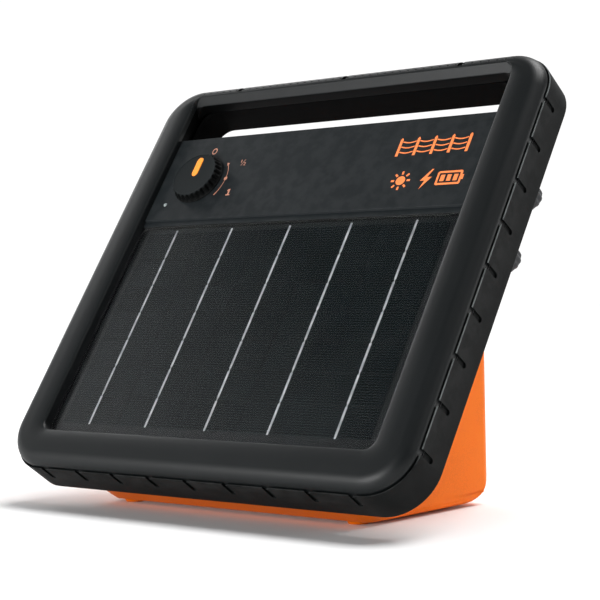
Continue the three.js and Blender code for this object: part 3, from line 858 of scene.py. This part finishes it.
def flats(outlines):
    return merged([prism(outline, PRINT_LOW, PRINT_HIGH) for outline in outlines])


def stroke(points, width):
    """A line of even width through the points, as an outline."""
    left = []
    right = []
    for i, point in enumerate(points):
        before = Vector(points[max(i - 1, 0)])
        after = Vector(points[min(i + 1, len(points) - 1)])
        side = (after - before).normalized().orthogonal() * width / 2
        left.append(tuple(Vector(point) + side))
        right.append(tuple(Vector(point) - side))
    return left + right[::-1]


def arc(radius, start, end, middle, steps=24):
    """Points on a circle about middle, by angles in degrees clockwise from straight up."""
    angles = [math.radians(start + (end - start) * i / steps) for i in range(steps + 1)]
    return [(middle[0] + radius * math.sin(a), middle[1] + radius * math.cos(a)) for a in angles]


def on_arc(radius, angle, middle):
    return arc(radius, angle, angle, middle, 1)[0]


def dial_legend(material):
    """A thin arc with an arrow, a stop and a thick end, and the scale 0, 1/2, 1 round the dial."""
    reach = 25.6
    middle = DIAL
    arrow = shifted([(-1.2, 1.4), (-0.3, -1.6), (1.4, 0.6)], on_arc(reach, 59, middle))
    marks = [stroke(arc(reach, 60, 122, middle), 0.42), circle(1.5, on_arc(reach, 90, middle)),
             arrow, stroke(arc(reach, 118, 125, middle, 4), 0.9)]
    printed("dial_arc", flats(marks), material)
    spot = (DIAL.x + 2.5, DIAL.y + 26.4)
    outer, inner = [shifted([(2.3 * share * x, 2.9 * share * y) for x, y in circle(1, sides=40)], spot)
                    for share in (1, 0.68)]
    printed("dial_zero", frame_of(outer, inner, PRINT_LOW, PRINT_HIGH), material)
    one = [([(0, -2.6), (0, 2.7)], 1.15), ([(-1.6, 1.1), (-0.2, 2.5)], 0.8),
           ([(-1.8, -2.5), (1.8, -2.5)], 0.8)]
    printed("dial_one", written(one, (DIAL.x + 34.6, DIAL.y - 12.9)), material)
    small_two = [(0.9, -0.6), (1.3, -0.1), (2.0, -0.1), (2.4, -0.6), (2.1, -1.2), (1.0, -2.5), (2.7, -2.5)]
    half = [([(-1.3, -2.6), (1.1, 2.6)], 0.4), ([(-2.1, 0.1), (-2.1, 2.7)], 0.65), (small_two, 0.5)]
    printed("dial_half", written(half, (DIAL.x + 36.2, DIAL.y + 13.6)), material)


def written(strokes, place):
    return flats([stroke(shifted(points, place), width) for points, width in strokes])


def fence_picture(material):
    """A short run of fence: five posts and three sagging wires."""
    left = 69.5
    low = 133.5
    high = 149
    pitch = 13.75
    gap = 1.5
    posts = 5
    post = [(-1.1, low), (1.1, low), (1.1, high - 1.4), (0, high), (-1.1, high - 1.4)]
    outlines = [shifted(post, (left + i * pitch, 0)) for i in range(posts)]
    for height in (0.22, 0.5, 0.78):
        level = low + height * (high - low)
        span = pitch - 2 * gap
        wire = [(gap + span * t / 8, level - 1.1 * math.sin(math.pi * t / 8)) for t in range(9)]
        outlines += [stroke(shifted(wire, (left + i * pitch, 0)), 0.95) for i in range(posts - 1)]
    printed("fence_picture", flats(outlines), material)


def power_pictures(material):
    """A sun, a lightning flash and a battery in a row."""
    level = 112.5
    sun, flash, battery = ((u, level) for u in (81, 101, 119))
    outlines = [circle(3.6, sun, 40)]
    for ray in range(8):
        outlines.append(stroke([on_arc(reach, ray * 45, sun) for reach in (5.0, 7.6)], 1.5))
    outlines.append(shifted([(2.6, 8), (-4.2, -1.2), (-0.6, -1.2), (-2.8, -8), (4.4, 1.6), (0.6, 1.6),
                             (4.0, 8)], flash))
    printed("power_pictures", flats(outlines), material)
    outer, inner = [shifted(rounded(half, -high, high, radius, 6), battery)
                    for half, high, radius in ((9.6, 5.6, 1.4), (8.0, 4.0, 0.5))]
    printed("battery_picture", frame_of(outer, inner, PRINT_LOW, PRINT_HIGH), material)
    bars = [(-5, 1.6, 2.6), (0, 1.6, 2.6), (5, 1.6, 2.6), (10.35, 0.65, 2)]
    outlines = [shifted(rounded(half, -high, high, 0.2, 6), (battery[0] + u, level))
                for u, half, high in bars]
    printed("battery_bars", flats(outlines), material)


# ---- solar panel ----

def sheet_of(box, radius, edge):
    """A rounded sheet with softened top and bottom edges."""
    low, high = box
    levels = [(edge, low.z), (edge * 0.3, low.z + edge * 0.3), (0, low.z + edge),
              (0, high.z - edge), (edge * 0.3, high.z - edge * 0.3), (edge, high.z)]
    return loft([outer_loop(inset, k, box, radius) for inset, k in levels])


def cell_string(column):
    u = (column - 2) * CELL["pitch_u"]
    half = CELL["width"] / 2
    plates = []
    for row in range(7):
        v = (row - 3) * CELL["pitch_v"]
        outline = rounded(half, -CELL["length"] / 2, CELL["length"] / 2, 0.5, 3)
        plates.append(prism(shifted(outline, (u, v)), CELL["under"], CELL["top"]))
    return merged(plates)


def ribbon(column):
    """The tinned strip along one string: flat over each cell, pinched where it dips to the next."""
    u = (column - 2) * CELL["pitch_u"]
    low = CELL["top"] + 0.01
    shapes = []
    for row in range(7):
        v = (row - 3) * CELL["pitch_v"]
        reach = CELL["pitch_v"] / 2 - 0.75
        ends = [(-reach, 0.45), (-reach + 1, 0.85), (reach - 1, 0.85), (reach, 0.45)]
        if row == 6:
            ends[-1] = (reach + 2.2, 0.6)
        if row == 0:
            ends[0] = (-reach - 1.2, 0.6)
        outline = [(half, along) for along, half in ends] + [(-half, along) for along, half in reversed(ends)]
        shapes.append(prism(shifted(outline, (u, v)), low, low + 0.14))
    for row in range(6):
        v = (row - 2.5) * CELL["pitch_v"]
        shapes.append(block(u - 0.35, u + 0.35, v - 0.78, v + 0.78, low, low + 0.06))
        shapes.append(turned([(0.95, low), (0.95, low + 0.16), (0.6, low + 0.2)], (u, v - 1.6), 16))
    pad = (u, 3.5 * CELL["pitch_v"] + 1.2)
    shapes.append(turned([(0.95, low), (0.95, low + 0.12), (0.55, low + 0.2)], pad, 20))
    return merged(shapes)


def solar_panel(glass, cells, tin, sheet):
    smooth_piece("panel_cover", sheet_of(GLASS, 7.5, 0.25), "solar_glass", glass)
    smooth_piece("panel_backsheet", sheet_of(BACKSHEET, 6, 0.2), "solar_backsheet", sheet)
    for column in range(5):
        string = make(f"cells_{column + 1}", cell_string(column))
        finish(string, f"cell_string_{column + 1}", cells)
        strip = make(f"cell_ribbon_{column + 1}", ribbon(column))
        finish(strip, None, tin)


# ---- mode dial and indicator ----

def wavy(radius, depth, middle, waves, each, power):
    """A round outline with hollows of that depth, each drawn with that many points."""
    points = []
    for i in range(waves * each):
        angle = 2 * math.pi * i / (waves * each)
        reach = radius - depth * (0.5 - 0.5 * math.cos(angle * waves)) ** power
        points.append(around(middle, reach, angle))
    return points


def mode_knob(material, orange):
    low, top = KNOB.low.z, KNOB.high.z
    levels = [(20.6, 0, low), (21, 0, low + 0.3), (21, 0, low + 1.1), (20.7, 0.3, low + 1.5),
              (20.3, 1, low + 2.1), (19.5, 1.15, top - 1.5), (19.3, 1, top - 0.8), (18.9, 0.6, top - 0.3),
              (18.3, 0.1, top), (17.9, 0, top), (17.6, 0, top - 0.22), (17.3, 0, top - 0.25),
              (3, 0, top - 0.2)]
    loops = [raised(wavy(radius, depth, DIAL, 28, 8, 1.5), k) for radius, depth, k in levels]
    knob = make("knob_shell", loft(loops))
    cut(knob, drum(SHAFT_BORE, low - 1, 8.6, DIAL, 32))
    cut(knob, prism(stadium(0.35), top - 1.2, top + 2))
    knob.data.shade_smooth()
    knob.data.set_sharp_from_angle(angle=math.radians(40))
    finish(knob, "mode_knob", material, "mode_dial")
    tip = POINTER.high.z
    levels = [(0, POINTER.low.z), (0, tip - 0.4), (-0.12, tip - 0.15), (-0.45, tip)]
    marker = loft([raised(stadium(grow), k) for grow, k in levels])
    smooth_piece("pointer_inlay", marker, "knob_pointer", orange, 60, "mode_dial")


def stadium(grow):
    """The pointer's outline, from the dial's middle upward, made larger by grow."""
    half = (POINTER.high.x - POINTER.low.x) / 2
    radius = half + grow
    ends = [(POINTER.high.y - half, 0), (POINTER.low.y + half, math.pi)]
    points = []
    for v, start in ends:
        points += [around((DIAL.x, v), radius, start + math.pi * step / 12) for step in range(13)]
    return points


def led_lens(material):
    radius = (LENS.high.x - LENS.low.x) / 2
    top = LENS.high.z
    dome = [(radius, LENS.low.z), (radius, top - 0.5), (radius * 0.92, top - 0.28), (radius * 0.7, top - 0.1),
            (radius * 0.35, top)]
    smooth_piece("indicator_lens", turned(dome, LED, 32), "led_lens", material, 60)


# ---- battery base ----

BASE_PLAN = {"floor": -119, "rear": 108, "toe": -20, "toe_top": -42, "toe_high": -105, "top": 115,
             "rim": -28.3, "shoulder": 138, "corner": 12, "heel": 30, "neck": 5, "wall": 2.5}
BASE_HALF = {"front": 113, "rear": 120.4}
BASE_EDGE = {"inset": 4, "high": 6}
FEET = [(side * x, y) for x, y in ((96, -12), (92, 68)) for side in (-1, 1)]


def face_to_body(v, k):
    return (v * math.cos(SLOPE) - k * math.sin(SLOPE), v * math.sin(SLOPE) + k * math.cos(SLOPE))


def corner_arc(before, corner, after, radius, steps=12):
    """The points of a fillet of that radius where two straight lines meet."""
    before, corner, after = Vector(before), Vector(corner), Vector(after)
    to_before = (before - corner).normalized()
    to_after = (after - corner).normalized()
    half = to_before.angle(to_after) / 2
    middle = corner + (to_before + to_after).normalized() * radius / math.sin(half)
    first = corner + to_before * radius / math.tan(half) - middle
    last = corner + to_after * radius / math.tan(half) - middle
    sweep = math.atan2(first.cross(last), first.dot(last))
    turns = [Matrix.Rotation(sweep * step / steps, 2) for step in range(steps + 1)]
    return [tuple(middle + turn @ first) for turn in turns]


def base_outline(inset, front):
    """The base seen from above: wider at the rear than at the toe."""
    front += inset
    rear = BASE_PLAN["rear"] - inset
    narrow = BASE_HALF["front"] - inset
    wide = BASE_HALF["rear"] - inset
    corners = [(wide, rear), (-wide, rear), (-narrow, front), (narrow, front)]
    points = []
    for i, corner in enumerate(corners):
        points += corner_arc(corners[i - 1], corner, corners[(i + 1) % 4], BASE_PLAN["corner"] - inset, 10)
    return points


def base_column(inset):
    """Outlines from the floor up: the lower edges are rounded, and the toe leans forward."""
    plan = BASE_PLAN
    loops = []
    for angle in quarter(6):
        rise = BASE_EDGE["high"] * (1 - math.cos(angle))
        drawn_in = BASE_EDGE["inset"] * (1 - math.sin(angle))
        share = rise / (plan["toe_high"] - plan["floor"])
        front = plan["toe"] + (plan["toe_top"] - plan["toe"]) * share - drawn_in
        loops.append(raised(base_outline(inset + drawn_in, front), plan["floor"] + rise))
    loops += [raised(base_outline(inset, plan["toe_top"]), plan[level]) for level in ("toe_high", "top")]
    return loft(loops)


def wedge(name, inset, rim):
    """The base's form made smaller by inset on every side but its sloping one, which lies at k = rim."""
    plan = BASE_PLAN
    floor = plan["floor"] + inset
    rear = plan["rear"] - inset
    shoulder = plan["shoulder"] - inset
    toe = ((floor * math.cos(SLOPE) - rim) / math.sin(SLOPE), floor)
    heel = (rear, floor)
    neck = (rear, (shoulder - rear * math.cos(SLOPE)) / math.sin(SLOPE))
    peak = face_to_body(shoulder, rim)
    side = [toe, *corner_arc(toe, heel, neck, plan["heel"] - inset),
            *corner_arc(heel, neck, peak, plan["neck"] - inset, 6), peak]
    piece = make(name, base_column(inset), BODY)
    carve(piece, "INTERSECT", across(side, 150))
    return piece


def battery_base(material):
    piece = wedge("base_shell", 0, BASE_PLAN["rim"])
    merge_flats(piece)
    round_edges(piece, 1.6, 4, 28)
    cut(piece, taken_apart(wedge("hollow", BASE_PLAN["wall"], BASE_PLAN["rim"] + 5)))
    recesses = [moved(drum(4.2, -130, -31.3, spot, 32), TURN) for spot in BASE_SCREWS]
    cut(piece, merged(recesses))
    floor = BASE_PLAN["floor"]
    sole = BASE.low.z
    foot = [(5.4, sole), (6.1, sole + 0.15), (6.7, sole + 0.7), (7, floor - 0.3), (7.3, floor + 0.5)]
    carve(piece, "UNION", merged([turned(foot, spot, 40) for spot in FEET]))
    smooth(piece, 34)
    finish(piece, "battery_base", material)


# ---- output terminals ----

def terminal_knob(name, v, material):
    box = box_in(FACE, f"{name}_knob")
    low, high = box.low.z, box.high.z
    middle = (TERMINAL_U, v)
    levels = [(7.5, 0.1, high), (8.8, 0.4, high - 0.25), (9.7, 0.7, high - 1), (10, 0.8, high - 2.2),
              (9.9, 0.8, low + 3.4), (9.6, 0.7, low + 1.6), (8.9, 0.5, low + 0.5), (7.6, 0.2, low + 0.05),
              (6, 0, low), (4.6, 0, low + 0.1)]
    loops = [raised(wavy(radius, depth, middle, 12, 12, 1), k) for radius, depth, k in levels]
    piece = make(f"{name}_grip", loft(loops))
    cut(piece, drum(STUD_BORE, low + 2.2, high + 2, middle, 32))
    smooth(piece)
    finish(piece, f"{name}_knob", material, f"{name}_nut")


def terminal_collar(name, v, material):
    box = box_in(FACE, f"{name}_collar")
    low, high = box.low.z, box.high.z
    middle = (TERMINAL_U, v)
    profile = [(STUD_HOLE, high), (8, high), (8, low + 0.5), (7.6, low + 0.1), (7.2, low), (STUD_HOLE, low)]
    loops = [raised(circle(radius, middle, 48), k) for radius, k in profile]
    smooth_piece(f"{name}_seat", loft(loops, ring=True), f"{name}_collar", material, 40)


# ---- screws ----

def pan_screw(node, material):
    """A pan-head screw with a cross recess and a tapering thread, its head to the back."""
    box = box_in(FACE, node)
    middle = middle_of(box)
    head = box.low.z
    tip = box.high.z
    seat = head + 2.4
    pitch = 0.9
    profile = [(0.6, head), (2.2, head + 0.12), (3, head + 0.5), (3.4, head + 1.1), (3.5, seat), (1.6, seat)]
    for turn in range(int((tip - seat - 2) / pitch)):
        k = seat + 0.8 + turn * pitch
        profile += [(1.35, k), (1.6, k + 0.4)]
    profile += [(1.3, tip - 0.8), (0.3, tip)]
    piece = make(f"{node}_body", turned(profile, middle, 32))
    x, y = middle
    wings = [block(x - a, x + a, y - b, y + b, head - 1, head + 1.3) for a, b in ((2.0, 0.45), (0.45, 2.0))]
    for wing in wings:
        cut(piece, wing)
    smooth(piece, 35)
    finish(piece, node, material)


# ---- everything ----

def cad_materials():
    """A procedural finish for each CAD node that stays as it is, by its material slot."""
    return {
        "seal_rubber": rubber("seal_rubber", srgb(26, 27, 29)),
        "steel": brushed("steel", srgb(200, 202, 204), 0.3),
        "brass": brushed("brass", srgb(214, 178, 104), 0.3),
        "copper": wound("copper_winding", srgb(196, 112, 62), 0.8, 2),
        "circuit_board": circuit_board(),
        "core_steel": laminated_core(),
        "capacitor_film": moulded("capacitor_film", srgb(52, 98, 158), 0.38),
        "dark_plastic": moulded("dark_plastic", srgb(34, 35, 38), 0.5),
        "heat_sink": brushed("heat_sink", srgb(186, 188, 192), 0.42, stretch=(10, 1, 1)),
        "battery_case": moulded("battery_case", srgb(62, 65, 70), 0.55, grain=0.9),
        "red_lead": moulded("red_lead", srgb(178, 34, 34), 0.42, grain=0.7),
        "black_lead": moulded("black_lead", srgb(24, 24, 26), 0.42, grain=0.7),
        "clear_plastic": moulded("indicator_body", srgb(216, 222, 226), 0.2),
    }


def dress_cad_nodes():
    looks = cad_materials()
    for name, node in NODES.items():
        look = looks.get(SLOT_OF[name])
        if look:
            for slot in node.material_slots:
                slot.material = look


def build():
    # The case and skirt take painted shade in the hand gap; the case also takes it in its dimples and
    # notches.
    case = moulded("case_black", BLACK, 0.45, edge_wear_and_highlight=0.3, dust=0.004, specular=0.25, dots=True, paints_shade=True)
    # The skirt's rim colour is a painted highlight line.
    skirt = moulded("skirt_black", srgb(9, 11, 11), 0.62, edge_wear_and_highlight=0.3, specular=0.11, rim=srgb(104, 108, 108),
                    paints_shade=True)
    legend = ink("legend_ink", srgb(190, 132, 108))
    picture = ink("picture_ink", srgb(244, 132, 70))
    dress_cad_nodes()
    front_bezel(case)
    rear_housing(skirt)
    control_fascia(moulded("fascia_black", srgb(20, 24, 26), 0.5, grain=0.35, edge_wear_and_highlight=0.2, specular=0.1))
    dial_legend(legend)
    fence_picture(picture)
    power_pictures(picture)
    solar_panel(clear_glass(), silicon(), tinned(), moulded("panel_backsheet", srgb(20, 23, 26), 0.5))
    # The knob's sides carry a near-black darkened copy of the black, and its face a lighter, painted-lit one.
    mode_knob(moulded("knob_black", srgb(6, 7, 7), 0.6, grain=0.4, specular=0.04, face=srgb(27, 30, 31)),
              moulded("pointer_orange", srgb(250, 146, 42), 0.4, grain=0.3, edge_wear_and_highlight=0.0))
    led_lens(frosted_lens())
    # The orange base takes painted shade along its low front.
    battery_base(moulded("orange_plastic", ORANGE, 0.45, grain=0.6, grain_depth=0.03, edge_wear_and_highlight=0.12, dust=0.01,
                         specular=0.15, painted_low_shade=True))
    terminal_look = moulded("terminal_black", srgb(32, 34, 37), 0.48)
    collar_look = moulded("collar_black", srgb(30, 32, 35), 0.5)
    for name, v in TERMINALS.items():
        terminal_knob(name, v, terminal_look)
        terminal_collar(name, v, collar_look)
    screw_look = brushed("screw_steel", srgb(190, 192, 196), 0.32)
    for name in NODES:
        if "_screw_" in name:
            pan_screw(name, screw_look)


# ---- stage, light and camera ----

def floor():
    piece = make("studio_floor", block(-6000, 6000, -6000, 6000, -20, 0), Matrix.Identity(4))
    look = Surface("floor_paper", (0.86, 0.86, 0.86), 0.9)
    look.paint(look.mix(look.noise(400), (0.84, 0.84, 0.84), (0.88, 0.88, 0.88)))
    piece.data.materials.append(look.material)


def world():
    """Soft studio surroundings: bright walls in front and to the left, darker above and to the right."""
    place = bpy.data.worlds.new("studio")
    bpy.context.scene.world = place
    place.use_nodes = True
    nodes = Nodes(place.node_tree)
    background = nodes.tree.nodes["Background"]
    axes = nodes.node("SeparateXYZ", {0: nodes.node("TexCoord").outputs["Generated"]}).outputs
    white = (1.0, 1.0, 1.0)
    upward = nodes.ramp(axes["Z"], 0.30, white, 0.74, (0.012, 0.014, 0.015))
    rightward = nodes.ramp(axes["X"], 0.0, white, 0.35, (0.06, 0.065, 0.07))
    product = nodes.node("Mix", {0: 1.0, 6: upward, 7: rightward}, data_type="RGBA", blend_type="MULTIPLY")
    nodes.join(product.outputs[2], background.inputs["Color"])
    background.inputs["Strength"].default_value = 1.05


def softbox(name, place, target, width, height, power):
    light = bpy.data.lights.new(name, "AREA")
    light.shape = "RECTANGLE"
    light.size = width
    light.size_y = height
    light.energy = power
    lamp = bpy.data.objects.new(name, light)
    lamp.location = place
    lamp.rotation_euler = (Vector(target) - Vector(place)).to_track_quat("-Z", "Y").to_euler()
    lamp.visible_camera = False
    link(lamp)


def overhead_light():
    """An even light from above and a little behind, so wide that the shadows it leaves are soft."""
    light = bpy.data.lights.new("overhead", "SUN")
    light.energy = 3.6
    light.angle = math.radians(40)
    lamp = bpy.data.objects.new("overhead", light)
    lamp.rotation_euler = Vector((-0.15, -0.45, -1)).to_track_quat("-Z", "Y").to_euler()
    link(lamp)


def camera():
    eye = bpy.data.objects.new("camera", bpy.data.cameras.new("camera"))
    eye.data.sensor_width = 36
    eye.data.lens = 94.85
    turn = (Matrix.Rotation(math.radians(38.54), 4, "Z") @ Matrix.Rotation(math.radians(90 - 0.88), 4, "X")
            @ Matrix.Rotation(math.radians(-1.19), 4, "Z"))
    eye.matrix_world = Matrix.Translation((0.6771, -0.83256, 0.1537)) @ turn
    link(eye)
    bpy.context.scene.camera = eye


def stage():
    floor()
    world()
    middle = (0, 0, 0.13)
    softbox("front_softbox", (-0.25, -1.75, 0.12), middle, 1.1, 0.5, 43)
    softbox("rear_softbox", (-1.3, 0.95, 1.5), middle, 0.9, 0.9, 5)
    softbox("right_softbox", (2.2, 0.3, 1.1), middle, 1.0, 1.0, 4)
    softbox("side_softbox", (1.5, 1.8, 0.5), middle, 0.9, 0.4, 6)
    softbox("left_softbox", (-1.9, 0.25, 1.4), middle, 0.7, 0.7, 7)
    overhead_light()
    camera()
    bpy.context.scene.view_settings.view_transform = "Standard"


build()
stage()
